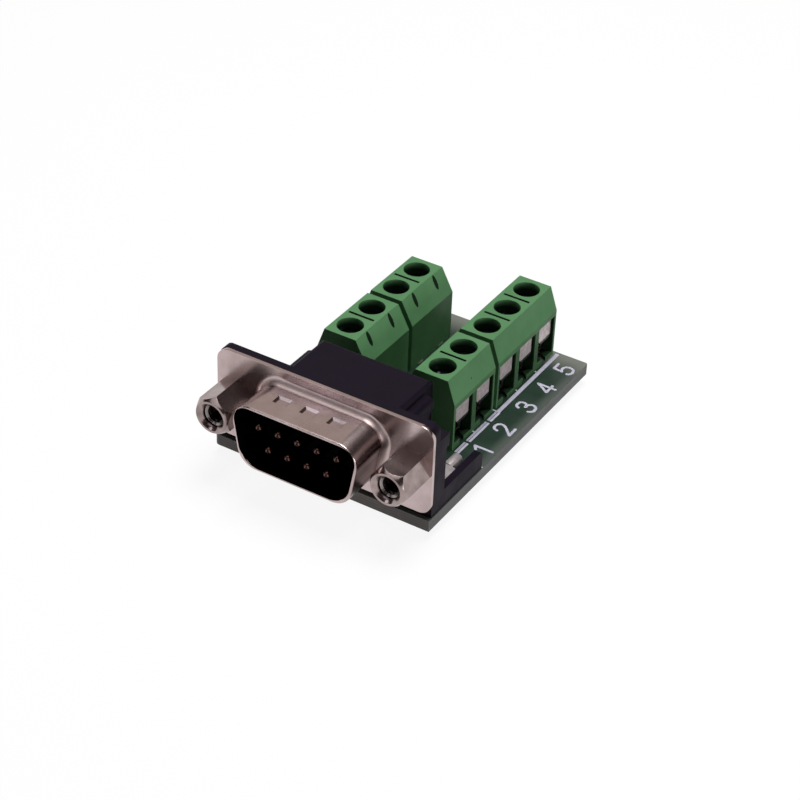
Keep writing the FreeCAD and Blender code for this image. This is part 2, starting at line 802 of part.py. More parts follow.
def build_housing(label, count, side, first_y):
    """Moulded terminal housing with one wire entry and one screw access hole per pole."""
    span = size("pole_pitch") * (count - 1)
    start_y = first_y if side > 0 else first_y + span
    turn = 0.0 if side > 0 else 180.0
    body = new_body(label, x=row_offset * side, y=start_y, z=board_top, turn=turn)
    back, front = -size("block_back"), size("block_front")
    shoulder, height = shoulder_height, block_height

    section = new_sketch(body, "XZ_Plane", "section_" + label, end_margin)
    outline(section, [(back, ZERO), (front, ZERO), (front, shoulder), (size("top_front"), height),
                      (-size("top_back"), height), (back, shoulder)])
    pad(body, section, span + end_margin * 2, reverse=True)

    inner = back + size("back_wall")
    cage_half = half("cage_depth") + size("cage_gap") * 2
    entry = new_sketch(body, "XZ_Plane", "entry_" + label, jamb)
    outline(entry, [(inner, -overrun), (front + overrun, -overrun), (front + overrun, entry_top),
                    (cage_half, entry_top), (cage_half, cage_roof),
                    (-cage_half, cage_roof), (-cage_half, entry_top),
                    (inner, entry_top - size("back_wall"))])
    first_entry = pocket(body, entry, jamb * 2)
    row = body.newObject("PartDesign::LinearPattern", "entries_" + label)
    row.Originals = [first_entry]
    row.Direction = (origin_feature(body, "Y_Axis"), [""])
    row.setExpression("Length", span.formula)
    row.Occurrences = count
    body.Tip = row
    doc.recompute()

    places = [size("pole_pitch") * index for index in range(count)]
    sill = new_sketch(body, "XY_Plane", "sill_" + label)
    toe = new_sketch(body, "XY_Plane", "toe_" + label)
    head = new_sketch(body, "XY_Plane", "head_pocket_" + label, cage_roof - overlap)
    access = new_sketch(body, "XY_Plane", "access_" + label, height)
    for y in places:
        right, left = y + jamb, y - jamb
        outline(sill, [(front, right - size("sill_width")), (front, right + overlap),
                       (front - overlap, right + overlap),
                       (front - size("sill_reach"), right - size("sill_peak"))])
        outline(toe, [(front, left - overlap), (front, left + size("toe_width")),
                      (front - size("toe_reach"), left + half("toe_width")),
                      (front - size("toe_reach"), left - overlap)])
        circle(head, ZERO, y, jamb)
        circle(access, ZERO, y, half("access_diameter"))
    pad(body, sill, size("sill_thickness"))
    pad(body, toe, size("toe_thickness"))
    pocket(body, head, screw_roof - cage_roof + overlap, reverse=True)
    pocket(body, access, height - screw_roof + overlap)

    slot = new_sketch(body, "YZ_Plane", "slot_" + label)
    run, rise = size("block_back") - size("top_back"), height - shoulder
    tilt = angle_between(rise, run)
    slope = Size(math.hypot(run.number, rise.number), "hypot(%s; %s)" % (run.formula, rise.formula))
    slot.AttachmentOffset = FreeCAD.Placement(
        FreeCAD.Vector(0, shoulder.number, back.number),
        FreeCAD.Rotation(FreeCAD.Vector(1, 0, 0), tilt.number))
    slot.setExpression("AttachmentOffset.Base.y", shoulder.formula)
    slot.setExpression("AttachmentOffset.Base.z", back.formula)
    slot.setExpression("AttachmentOffset.Rotation.Angle", tilt.formula)
    upper = slope - size("slot_top")
    for y in places:
        lens(slot, y, upper - size("slot_length"), upper, half("slot_width"))
    pocket(body, slot, size("slot_depth"), reverse=True)

    grooves = new_sketch(body, "XY_Plane", "grooves_" + label, height)
    middle = (size("top_front") - size("top_back")) / 2
    for y in places[1:]:
        between = y - half("pole_pitch")
        box_outline(grooves, middle - half("groove_length"), middle + half("groove_length"),
                    between - half("groove_width"), between + half("groove_width"))
    pocket(body, grooves, size("groove_depth"))


def lens(sketch, x, lower, upper, bulge):
    """A slot between two equal arcs that meet in a point at either end."""
    chord = (upper - lower) / 2
    radius = (chord * chord + bulge * bulge) / (bulge * 2)
    middle = (upper + lower) / 2
    spread = math.degrees(math.asin(chord.number / radius.number))
    right = arc(sketch, (x - radius + bulge, middle), radius, -spread, spread)
    left = arc(sketch, (x + radius - bulge, middle), radius, 180 - spread, 180 + spread)
    bind_point(sketch, right, 1, (x, lower))
    bind_point(sketch, right, 2, (x, upper))
    join(sketch, right, 2, left, 1)
    join(sketch, left, 2, right, 1)


def build_clamp_screw(number, side, y):
    """Slotted clamp screw, held by its head under the roof and free to turn."""
    underside = screw_roof - size("head_gap") - size("head_thickness")
    body = new_body("clamp_screw_%d" % number, x=row_offset * side, y=y, z=board_top)
    tip = bar_top + size("tip_gap")
    section = new_sketch(body, "XZ_Plane", "screw_section_%d" % number)
    head, shank = jamb - size("head_gap"), half("shank_diameter")
    top = underside + size("head_thickness")
    outline(section, [(ZERO, tip), (shank, tip), (shank, underside), (head, underside),
                      (head, top), (ZERO, top)])
    turned(body, section, "Revolution", "V_Axis")
    slot = new_sketch(body, "XY_Plane", "screw_slot_%d" % number, top)
    width = half("slot_cut_width")
    box_outline(slot, -head, head, -width, width)
    pocket(body, slot, size("slot_cut_depth"))


def build_wire_cage(number, side, y):
    """Folded cage that climbs the clamp screw and lifts the wire against the bar."""
    body = new_body("wire_cage_%d" % number, x=row_offset * side, y=y, z=board_top)
    outer = jamb - size("cage_gap")
    inner = outer - size("cage_wall")
    low = size("cage_lift")
    plate = bar_top + size("bar_play")
    top = plate + size("cage_plate")
    tube = new_sketch(body, "YZ_Plane", "cage_tube_%d" % number, -half("cage_depth"))
    box_outline(tube, -outer, outer, low, top)
    box_outline(tube, -inner, inner, low + size("cage_floor"), plate)
    pad(body, tube, size("cage_depth"))
    fillet(body, size("cage_round"), lambda edge: along(edge, X_AXIS) and
           near(abs(edge.Vertexes[0].Y), outer.number))
    hole = new_sketch(body, "XY_Plane", "cage_thread_%d" % number, top)
    circle(hole, ZERO, ZERO, half("shank_diameter") + size("cage_thread_gap"))
    pocket(body, hole, size("cage_plate") + overlap)


def build_terminal_contact(number, side, y):
    """Tinned contact: bar through the cage, tongue in the wire entry, tail in the board."""
    turn = 0.0 if side > 0 else 180.0
    body = new_body("terminal_contact_%d" % number, x=row_offset * side, y=y, z=board_top,
                    turn=turn)
    bar_half = jamb - size("cage_gap") - size("cage_wall") - size("bar_side_gap")
    thick = size("tail_thickness")
    back = tail_x - thick / 2
    tongue_front = size("block_front") - size("tongue_setback")
    tongue_back = tongue_front - size("tongue_thickness")
    under = size("bar_underside")

    bar = new_sketch(body, "XZ_Plane", "bar_%d" % number, -bar_half)
    start = size("contact_start")
    outline(bar, [(back, start), (back + thick, start), (back + thick, under),
                  (tongue_back + overlap, under), (tongue_back + overlap, bar_top), (back, bar_top)])
    pad(body, bar, bar_half * 2)
    crown = (back.number, bar_top.number)
    fillet(body, size("bar_round"), lambda edge: along(edge, Y_AXIS) and
           near(edge.Vertexes[0].X, crown[0]) and near(edge.Vertexes[0].Z, crown[1]))

    tongue_half = jamb - size("tongue_side_gap")
    tongue_top = entry_top - size("tongue_top_gap")
    tongue = new_sketch(body, "YZ_Plane", "tongue_%d" % number, tongue_back)
    outline(tongue, [(-tongue_half + size("tongue_cut"), under), (tongue_half, under),
                     (tongue_half, tongue_top), (-tongue_half, tongue_top),
                     (-tongue_half, under + size("tongue_cut_height"))])
    pad(body, tongue, size("tongue_thickness"))

    tail = new_sketch(body, "XY_Plane", "tail_%d" % number, -tail_depth)
    box_outline(tail, back, back + thick, -half("tail_width"), half("tail_width"))
    pad(body, tail, tail_depth + start + overlap)


def solder_fillet(x, y, along_x, along_y):
    """A cone of solder under the board, open for the flat tail that it holds."""
    under = (board_top - size("board_thickness")).number
    height = SIZES["fillet_height"]
    tip = SIZES["fillet_tip"] + max(along_x, along_y) / 2
    cone = Part.makeCone(tip, SIZES["fillet_radius"], height,
                         FreeCAD.Vector(x, y, under - height), FreeCAD.Vector(0, 0, 1))
    corner = FreeCAD.Vector(x - along_x / 2, y - along_y / 2, under - height - SIZES["overrun"])
    return cone.cut(Part.makeBox(along_x, along_y, height + SIZES["overrun"] * 2, corner))


def build_solder():
    """Solder fillets on the tails of the plug contacts and of the terminals."""
    gap = SIZES["solder_gap"] * 2
    joints = []
    for x, z, row_y in plug_pins:
        joints.append(solder_fillet(x.number, row_y.number,
                                    SIZES["leg_width"] + gap, SIZES["leg_thickness"] + gap))
    for side, y in poles:
        joints.append(solder_fillet(((row_offset + tail_x) * side).number, y.number,
                                    SIZES["tail_thickness"] + gap, SIZES["tail_width"] + gap))
    group = doc.addObject("Part::Feature", "solder_joints")
    group.Label = "solder_joints"
    group.Shape = Part.makeCompound(joints)
    labelled.append(group)


build_board()
build_shell()
build_body()
for number, (x, z, row_y) in enumerate(plug_pins, start=1):
    build_pin(number, x, z, row_y)
build_screwlock("screwlock_left", -1, SIZES["screwlock_turn_left"])
build_screwlock("screwlock_right", 1, SIZES["screwlock_turn_right"])
for name, side in (("left", -1), ("right", 1)):
    build_insert("threaded_insert_" + name, side)
    build_strap("ground_strap_" + name, side)
for label, count, first_y in right_rows:
    build_housing(label, count, 1, first_y)
for label, count, first_y in left_rows:
    build_housing(label, count, -1, first_y)
for number, (side, y) in enumerate(poles, start=1):
    build_clamp_screw(number, side, y)
    build_wire_cage(number, side, y)
    build_terminal_contact(number, side, y)
build_solder()

doc.recompute()
for item in doc.Objects:
    if "Invalid" in item.State or "Error" in item.State:
        raise ValueError("failed: " + item.Name)
os.makedirs("parts", exist_ok=True)
for item in labelled:
    if item.Shape.isNull() or not item.Shape.isValid():
        raise ValueError("bad shape: " + item.Label)
    item.Shape.exportStep("parts/%s.step" % item.Label)
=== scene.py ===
import math

import bmesh
import bpy
from mathutils import Matrix, Vector


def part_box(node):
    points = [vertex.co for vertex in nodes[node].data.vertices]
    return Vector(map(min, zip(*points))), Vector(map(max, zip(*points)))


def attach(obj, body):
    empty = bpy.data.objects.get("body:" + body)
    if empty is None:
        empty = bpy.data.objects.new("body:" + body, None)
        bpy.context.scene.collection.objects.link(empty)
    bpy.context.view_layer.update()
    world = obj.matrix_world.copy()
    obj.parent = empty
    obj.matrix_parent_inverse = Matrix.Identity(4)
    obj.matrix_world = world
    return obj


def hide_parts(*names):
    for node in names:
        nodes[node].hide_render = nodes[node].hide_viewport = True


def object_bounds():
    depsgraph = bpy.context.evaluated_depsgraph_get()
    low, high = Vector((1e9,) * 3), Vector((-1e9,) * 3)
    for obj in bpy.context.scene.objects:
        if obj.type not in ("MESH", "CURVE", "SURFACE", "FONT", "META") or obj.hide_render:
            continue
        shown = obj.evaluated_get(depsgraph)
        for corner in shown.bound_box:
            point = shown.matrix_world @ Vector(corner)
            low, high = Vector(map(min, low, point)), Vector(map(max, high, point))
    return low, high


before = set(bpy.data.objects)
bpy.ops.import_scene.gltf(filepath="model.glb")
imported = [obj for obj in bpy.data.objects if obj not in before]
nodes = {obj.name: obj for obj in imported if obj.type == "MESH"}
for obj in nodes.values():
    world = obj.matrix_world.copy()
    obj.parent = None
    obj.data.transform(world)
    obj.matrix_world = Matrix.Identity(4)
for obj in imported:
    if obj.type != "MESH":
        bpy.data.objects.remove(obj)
cad_box = [list(corner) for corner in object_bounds()]

# The view of the photograph: a long lens above and to the right of the plug.
# The part stands on white paper under a soft box, with a small one low on the right.
view_data = bpy.data.cameras.new("photograph_view")
view_data.lens = 100.43
view_data.sensor_width = 36
view_data.shift_x = 0.0016
view_data.shift_y = -0.0160
view_camera = bpy.data.objects.new("photograph_view", view_data)
view_camera.location = (0.117236, -0.180528, 0.158842)
view_camera.rotation_euler = [math.radians(turn) for turn in (54.7178, -1.9073, 31.9756)]
bpy.context.scene.collection.objects.link(view_camera)
bpy.context.scene.camera = view_camera
bpy.context.scene.view_settings.view_transform = "Standard"


def soft_box(name, place, size, power):
    """A square studio lamp that faces the middle of the part."""
    data = bpy.data.lights.new(name, "AREA")
    data.size = size
    data.energy = power
    lamp = bpy.data.objects.new(name, data)
    lamp.location = place
    aim = Vector((0.0, 0.017, 0.0)) - Vector(place)
    lamp.rotation_euler = aim.to_track_quat("-Z", "Y").to_euler()
    bpy.context.scene.collection.objects.link(lamp)


def add_node(tree, kind, sockets=None, **settings):
    """One shader node: a socket given as another's output is linked, another value is typed in."""
    made = tree.nodes.new("ShaderNode" + kind)
    for name, value in settings.items():
        setattr(made, name, value)
    for name, value in (sockets or {}).items():
        if isinstance(value, bpy.types.NodeSocket):
            tree.links.new(value, made.inputs[name])
        else:
            made.inputs[name].default_value = value
    return made


def math_node(tree, operation, first, second=0.0):
    """One sum on one or two values."""
    return add_node(tree, "Math", {0: first, 1: second}, operation=operation).outputs[0]


def seen_rays(tree):
    """1 for the rays that show the background: camera, glossy and transmission."""
    path = add_node(tree, "LightPath").outputs
    glossy = math_node(tree, "MAXIMUM", path["Is Camera Ray"], path["Is Glossy Ray"])
    return math_node(tree, "MAXIMUM", glossy, path["Is Transmission Ray"])


soft_box("overhead_box", (0.02, 0.06, 0.38), size=0.20, power=1.40)
soft_box("side_box", (0.36, -0.02, 0.035), size=0.09, power=0.26)

world = bpy.data.worlds.new("white_surround")
bpy.context.scene.world = world
world.use_nodes = True
air = world.node_tree
air.nodes.clear()
fill = add_node(air, "Background", {"Color": (0.95, 0.93, 1.0, 1), "Strength": 0.008})
white = add_node(air, "Background", {"Color": (1, 1, 1, 1), "Strength": 1.0})
both = add_node(air, "MixShader", {0: seen_rays(air), 1: fill.outputs[0], 2: white.outputs[0]})
add_node(air, "OutputWorld", {"Surface": both.outputs[0]})

# White paper under the part. It glows for the rays that show it, and only catches light and
# shadow for the others. Beyond the reach of the lamps its glow alone makes it white.
paper_half, paper_gap = 1.5, 0.0001
lamp_reach, dark_from = 0.20, 0.70


def stage_piece(name, shape, material):
    """A piece of the studio, which isn't part of the object."""
    mesh = bpy.data.meshes.new(name)
    shape.to_mesh(mesh)
    shape.free()
    mesh.materials.append(material)
    piece = bpy.data.objects.new(name, mesh)
    bpy.context.scene.collection.objects.link(piece)
    return piece


def coordinates(tree, kind="Object"):
    """A piece's own coordinates as a vector. With kind Normal, the way its surface faces."""
    return add_node(tree, "TexCoord").outputs[kind]


def ramp(tree, value, start, end, low=0.0, high=1.0, smooth=False):
    """A value that runs from low, where the given one is at start, to high, where it is at end."""
    return add_node(tree, "MapRange", {"Value": value, "From Min": start, "From Max": end,
                                       "To Min": low, "To Max": high},
                    interpolation_type="SMOOTHSTEP" if smooth else "LINEAR").outputs[0]


paper = bpy.data.materials.new("white_paper")
paper.use_nodes = True
sheet = paper.node_tree
sheet.nodes.clear()
far = add_node(sheet, "VectorMath", {0: coordinates(sheet)}, operation="LENGTH").outputs["Value"]
glow = add_node(sheet, "Emission", {"Color": (1, 1, 1, 1),
                                    "Strength": ramp(sheet, far, lamp_reach, dark_from, 0.90, 1.0)})
dull = add_node(sheet, "BsdfDiffuse", {"Color": (0.12, 0.12, 0.12, 1)})
lit = add_node(sheet, "AddShader", {0: glow.outputs[0], 1: dull.outputs[0]})
both = add_node(sheet, "MixShader", {0: seen_rays(sheet), 1: dull.outputs[0], 2: lit.outputs[0]})
add_node(sheet, "OutputMaterial", {"Surface": both.outputs[0]})
ground = bmesh.new()
bmesh.ops.create_grid(ground, x_segments=1, y_segments=1, size=paper_half,
                      matrix=Matrix.Translation((0, 0, cad_box[0][2] - paper_gap)))
stage_piece("paper_floor", ground, paper)

# Above the paper the room is dark, dim behind the part on the left, with one window in front.
# Only reflections show it: it gives the nickel its brown shadows. A ring of card stands for it.
card_foot, card_head = (0, 0.52, 0.14), (0, 0.36, 0.43)
dim_bearing, dim_reach, dark_reach = -0.80, 0.30, 0.46
window_bearing, window_half, window_height, window_half_height = -2.60, 0.15, 0.31, 0.05


def place_of(tree, kind="Object"):
    """A piece's own coordinates, or the way its surface faces, as three values."""
    return add_node(tree, "SeparateXYZ", {0: coordinates(tree, kind)}).outputs


def off_middle(tree, value, middle):
    """How far a value is from the middle, on either side."""
    return math_node(tree, "ABSOLUTE", math_node(tree, "SUBTRACT", value, middle))


def below(tree, value, limit):
    """1 where a value is less than the limit, and 0 elsewhere."""
    return math_node(tree, "LESS_THAN", value, limit)


def product(tree, *masks):
    """The overlap of several masks."""
    total = masks[0]
    for mask in masks[1:]:
        total = math_node(tree, "MULTIPLY", total, mask)
    return total


def blend(tree, share, first, second):
    """The first colour where the share is 0, and the second where it is 1."""
    ends = [colour if isinstance(colour, bpy.types.NodeSocket) else (*colour, 1)
            for colour in (first, second)]
    return add_node(tree, "Mix", {"Factor": share, 6: ends[0], 7: ends[1]},
                    data_type="RGBA").outputs[2]


shade = bpy.data.materials.new("dark_room")
shade.use_nodes = True
room = shade.node_tree
room.nodes.clear()
side = place_of(room)
bearing = math_node(room, "ARCTAN2", side[0], side[1])
dark_share = ramp(room, off_middle(room, bearing, dim_bearing), dim_reach, dark_reach, smooth=True)
tone = blend(room, dark_share, (0.56, 0.50, 0.46), (0.035, 0.022, 0.020))
window = product(room, below(room, off_middle(room, bearing, window_bearing), window_half),
                 below(room, off_middle(room, side[2], window_height), window_half_height))
tone = blend(room, window, tone, (2.2, 2.3, 2.5))
shown = add_node(room, "Emission", {"Color": tone, "Strength": 1.0})
add_node(room, "OutputMaterial", {"Surface": shown.outputs[0]})
card = bmesh.new()
rise = [card.verts.new(card_foot), card.verts.new(card_head)]
bmesh.ops.spin(card, geom=rise + [card.edges.new(rise)], cent=(0, 0, 0), axis=(0, 0, 1),
               angle=math.tau, steps=72, use_merge=True)
room_card = stage_piece("dark_room_card", card, shade)
room_card.visible_camera = False
room_card.visible_diffuse = False
room_card.visible_transmission = False
room_card.visible_shadow = False

# Circuit board: glass laminate with dark green solder mask on both faces.
# The mask pales towards the edges, partly where no copper lies under it and partly as a painted
# reflection, and towards the rear it is painted paler still as a painted sheen. The edges are sawn
# bare and show the layers of the laminate; the front one is painted pale as painted light.
mm = 0.001
board_low, board_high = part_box("circuit_board")


def beyond(tree, value, limit):
    """1 where a value is more than the limit, and 0 elsewhere."""
    return math_node(tree, "GREATER_THAN", value, limit)


def uneven_group():
    """Clouded colour, clouded gloss and a fine grain, read from a piece's own coordinates."""
    group = bpy.data.node_groups.new("uneven_finish", "ShaderNodeTree")
    for name, kind in (("Colour", "NodeSocketColor"), ("Cloud Colour", "NodeSocketColor"),
                       ("Cloud Size", "NodeSocketFloat"), ("Grain Size", "NodeSocketFloat"),
                       ("Smooth", "NodeSocketFloat"), ("Rough", "NodeSocketFloat")):
        group.interface.new_socket(name, in_out="INPUT", socket_type=kind)
    for name, kind in (("Colour", "NodeSocketColor"), ("Roughness", "NodeSocketFloat"),
                       ("Height", "NodeSocketFloat")):
        group.interface.new_socket(name, in_out="OUTPUT", socket_type=kind)
    given = group.nodes.new("NodeGroupInput").outputs
    place = coordinates(group)
    cloud = add_node(group, "TexNoise", {"Vector": place, "Scale": given["Cloud Size"],
                                         "Detail": 3.0, "Roughness": 0.55}).outputs["Fac"]
    spread = ramp(group, cloud, 0.35, 0.68)
    grain = add_node(group, "TexNoise", {"Vector": place, "Scale": given["Grain Size"],
                                         "Detail": 4.0, "Roughness": 0.6}).outputs["Fac"]
    both = add_node(group, "Mix", {"Factor": 0.35, 2: spread, 3: grain}, data_type="FLOAT")
    made = group.nodes.new("NodeGroupOutput").inputs
    group.links.new(blend(group, spread, given["Colour"], given["Cloud Colour"]), made["Colour"])
    group.links.new(ramp(group, both.outputs[0], 0.0, 1.0, given["Smooth"], given["Rough"]),
                    made["Roughness"])
    group.links.new(grain, made["Height"])
    return group


def specks_group():
    """Scattered round specks: 1 on a speck and 0 between them."""
    group = bpy.data.node_groups.new("specks", "ShaderNodeTree")
    for name in ("Scale", "Radius", "Share"):
        group.interface.new_socket(name, in_out="INPUT", socket_type="NodeSocketFloat")
    group.interface.new_socket("Mask", in_out="OUTPUT", socket_type="NodeSocketFloat")
    given = group.nodes.new("NodeGroupInput").outputs
    cells = add_node(group, "TexVoronoi", {"Vector": coordinates(group), "Scale": given["Scale"]})
    pick = add_node(group, "SeparateColor", {0: cells.outputs["Color"]}).outputs[0]
    mask = product(group, below(group, cells.outputs["Distance"], given["Radius"]),
                   below(group, pick, given["Share"]))
    group.links.new(mask, group.nodes.new("NodeGroupOutput").inputs["Mask"])
    return group


uneven = uneven_group()
specks = specks_group()


def surface_input(tree, name):
    """A socket of a material's own surface."""
    return tree.nodes["Principled BSDF"].inputs[name]


def finish_of(name, colour, cloud_colour, cloud_size, grain_size, smooth, rough, bump, **fixed):
    """A material with the uneven finish. The last are the surface's own fixed values."""
    material = bpy.data.materials.new(name)
    material.use_nodes = True
    tree = material.node_tree
    wear = add_node(tree, "Group", node_tree=uneven)
    for socket, value in (("Colour", (*colour, 1)), ("Cloud Colour", (*cloud_colour, 1)),
                          ("Cloud Size", cloud_size), ("Grain Size", grain_size),
                          ("Smooth", smooth), ("Rough", rough)):
        wear.inputs[socket].default_value = value
    dents = add_node(tree, "Bump", {"Height": wear.outputs["Height"], "Strength": bump,
                                    "Distance": 0.02 * mm})
    tree.links.new(wear.outputs["Colour"], surface_input(tree, "Base Color"))
    tree.links.new(wear.outputs["Roughness"], surface_input(tree, "Roughness"))
    tree.links.new(dents.outputs[0], surface_input(tree, "Normal"))
    for socket, value in fixed.items():
        surface_input(tree, socket.replace("_", " ")).default_value = value
    return material


def paint_over(material, mask, colour):
    """A second colour, laid over a material's own where the mask is 1."""
    tree = material.node_tree
    base = surface_input(tree, "Base Color")
    tree.links.new(blend(tree, mask, base.links[0].from_socket, colour), base)


def add_specks(material, scale, radius, share, colour):
    """Specks of one colour: share of the cells have one."""
    dots = add_node(material.node_tree, "Group", {"Scale": scale, "Radius": radius, "Share": share},
                    node_tree=specks)
    paint_over(material, dots.outputs["Mask"], colour)


solder_mask = finish_of("solder_mask", (0.018, 0.038, 0.026), (0.026, 0.049, 0.034),
                        cloud_size=260, grain_size=2600, smooth=0.30, rough=0.42, bump=0.15,
                        Specular_IOR_Level=0.26)
tree = solder_mask.node_tree
place = place_of(tree)
inset = None
for axis, low, high in ((0, board_low.x, board_high.x), (1, board_low.y, board_high.y)):
    for gap in (math_node(tree, "SUBTRACT", place[axis], low),
                math_node(tree, "SUBTRACT", high, place[axis])):
        inset = gap if inset is None else math_node(tree, "MINIMUM", inset, gap)
# Pale border: partly the bare laminate under thin mask, partly a painted reflection.
margin_start, margin_end = 1.7 * mm, 0.1 * mm
paint_over(solder_mask, ramp(tree, inset, margin_start, margin_end, smooth=True),
           (0.090, 0.106, 0.094))
# Painted sheen: the mask is painted paler towards the rear edge.
rear_start, rear_end, rear_share = board_high.y - 4.5 * mm, board_high.y - 0.3 * mm, 0.8
rearward = ramp(tree, place[1], rear_start, rear_end, smooth=True)
paint_over(solder_mask, product(tree, rearward, rear_share), (0.24, 0.25, 0.215))
layers = add_node(tree, "TexWave", {"Vector": coordinates(tree), "Scale": 900, "Distortion": 4.0},
                  bands_direction="Z").outputs["Fac"]
sawn = blend(tree, layers, (0.050, 0.050, 0.058), (0.082, 0.080, 0.090))
burr_start, burr_end = board_high.z - 0.75 * mm, board_high.z - 0.5 * mm
sawn = blend(tree, ramp(tree, place[2], burr_start, burr_end), sawn, (0.080, 0.084, 0.076))
# Painted light: the sawn front edge is painted pale, following the layers of the laminate.
front_edge = board_low.y + 0.05 * mm
at_front = below(tree, place[1], front_edge)
front_painted_light = ramp(tree, layers, 0.0, 1.0, 0.66, 0.86)
sawn = blend(tree, product(tree, at_front, front_painted_light), sawn, (0.66, 0.63, 0.60))
on_face = beyond(tree, math_node(tree, "ABSOLUTE", place_of(tree, "Normal")[2]), 0.5)
base = surface_input(tree, "Base Color")
tree.links.new(blend(tree, on_face, sawn, base.links[0].from_socket), base)
nodes["circuit_board"].material_slots[0].material = solder_mask

# Copper tracks under the mask, etched foil: along the underside from each plug contact,
# then through a small plated via and across the top face to its terminal.
track_mask = finish_of("mask_over_copper", (0.030, 0.066, 0.040), (0.040, 0.078, 0.050),
                       cloud_size=300, grain_size=2600, smooth=0.28, rough=0.40, bump=0.15,
                       Specular_IOR_Level=0.26)
foil = 0.035 * mm
track_width = 0.36 * mm
lane_gap = 0.66 * mm
first_turn_y = 12.6 * mm
contact_tail_x = 4.09 * mm
leg_half = 0.225 * mm


def make_piece(name, shape, material, smooth=False):
    """A mesh piece that rides on the adapter and takes the given finish."""
    bmesh.ops.recalc_face_normals(shape, faces=shape.faces)
    for face in shape.faces:
        face.smooth = smooth
    mesh = bpy.data.meshes.new(name)
    shape.to_mesh(mesh)
    shape.free()
    mesh.materials.append(material)
    piece = bpy.data.objects.new(name, mesh)
    bpy.context.scene.collection.objects.link(piece)
    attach(piece, "adapter")
    return piece


def drawn_strokes(lines, width, kind):
    """Round-ended strokes of one width, one for each line of points on the XY plane."""
    path_data = bpy.data.curves.new("strokes", "CURVE")
    path_data.dimensions = "3D"
    path_data.bevel_depth = width / 2
    path_data.bevel_resolution = 3
    path_data.resolution_u = 6
    path_data.use_fill_caps = True
    for points in lines:
        line = path_data.splines.new(kind)
        if kind == "BEZIER":
            line.bezier_points.add(len(points) - 1)
            for knot, point in zip(line.bezier_points, points):
                knot.co = (*point, 0)
                handle = "AUTO" if len(points) > 2 else "VECTOR"
                knot.handle_left_type = knot.handle_right_type = handle
        else:
            line.points.add(len(points) - 1)
            for knot, point in zip(line.points, points):
                knot.co = (*point, 0, 1)
    path_piece = bpy.data.objects.new("strokes", path_data)
    bpy.context.scene.collection.objects.link(path_piece)
    bpy.context.view_layer.update()
    made = path_piece.evaluated_get(bpy.context.evaluated_depsgraph_get())
    mesh = bpy.data.meshes.new_from_object(made)
    bpy.data.objects.remove(path_piece)
    shape = bmesh.new()
    shape.from_mesh(mesh)
    for end in sorted({tuple(line[0]) for line in lines} | {tuple(line[-1]) for line in lines}):
        bmesh.ops.create_uvsphere(shape, u_segments=16, v_segments=8, radius=width / 2,
                                  matrix=Matrix.Translation((*end, 0)))
    return shape


plug_tails, terminal_tails = [], []
for number in range(1, 10):
    low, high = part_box("contact_pin_%d" % number)
    plug_tails.append(Vector(((low.x + high.x) / 2, high.y - leg_half)))
    low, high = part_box("terminal_contact_%d" % number)
    terminal_tails.append(Vector((contact_tail_x if number < 6 else -contact_tail_x,
                                  (low.y + high.y) / 2)))
runs_below, runs_above, vias = [], [], []
for lane, index in enumerate(sorted(range(9), key=lambda pin: plug_tails[pin].x)):
    start, end = plug_tails[index], terminal_tails[index]
    lane_x = (lane - 4) * lane_gap
    runs_below.append([tuple(start), (start.x, first_turn_y),
                       (lane_x, first_turn_y + abs(start.x - lane_x)), (lane_x, end.y)])
    runs_above.append([(lane_x, end.y), tuple(end)])
    vias.append(Vector((lane_x, end.y)))
flatten = Matrix.Diagonal((1, 1, 2 * foil / track_width, 1))
for name, runs, face_z in (("tracks_below", runs_below, board_low.z),
                           ("tracks_above", runs_above, board_high.z)):
    tracks = drawn_strokes(runs, track_width, "POLY")
    bmesh.ops.transform(tracks, verts=tracks.verts,
                        matrix=Matrix.Translation((0, 0, face_z)) @ flatten)
    make_piece(name, tracks, track_mask, smooth=True)

# Plated holes for every tail, board lock and via: copper tinned in the bath.
# Each has a flat ring on both faces of the board and a barrel between them.
plate_tin = finish_of("plated_tin", (0.58, 0.55, 0.50), (0.44, 0.41, 0.38), cloud_size=900,
                      grain_size=5200, smooth=0.22, rough=0.42, bump=0.3, Metallic=1.0)
plate = 0.03 * mm
ring_top = foil * 1.4
strap_low, strap_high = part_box("ground_strap_right")
lock_x, lock_y = (strap_low.x + strap_high.x) / 2, 10.025 * mm


def add_turned(shape, profile, place, steps=24):
    """A closed profile of (radius, height) pairs, spun about a vertical axis."""
    corners = [shape.verts.new((place.x + radius, place.y, height)) for radius, height in profile]
    sides = [shape.edges.new(pair) for pair in zip(corners, corners[1:] + corners[:1])]
    bmesh.ops.spin(shape, geom=corners + sides, cent=(place.x, place.y, 0), axis=(0, 0, 1),
                   angle=math.tau, steps=steps, use_merge=True)


# Centre, radius of the drilled hole and radius of the ring.
drilled = [(tail, 0.45 * mm, 0.95 * mm) for tail in plug_tails]
drilled += [(tail, 0.825 * mm, 1.35 * mm) for tail in terminal_tails]
drilled += [(Vector((hand * lock_x, lock_y)), 1.55 * mm, 2.0 * mm) for hand in (-1, 1)]
drilled += [(via, 0.15 * mm, 0.32 * mm) for via in vias]
holes = bmesh.new()
top, bottom = board_high.z, board_low.z
for centre, bore, rim in drilled:
    add_turned(holes, [(bore - plate, bottom - ring_top), (rim, bottom - ring_top),
                       (rim, bottom + foil), (bore, bottom + foil), (bore, top - foil),
                       (rim, top - foil), (rim, top + ring_top), (bore - plate, top + ring_top)],
               centre)
make_piece("plated_holes", holes, plate_tin)

# White print on the board: the footprint lines beside the terminals and the pole numbers.
# It is thick epoxy ink, slightly raised, pulled through a screen in strokes with round ends.
ink = finish_of("white_print", (0.62, 0.60, 0.72), (0.52, 0.50, 0.62), cloud_size=1400,
                grain_size=6000, smooth=0.55, rough=0.75, bump=0.4)
board_top = board_high.z
ink_thick, ink_sunk = 0.03 * mm, 0.01 * mm


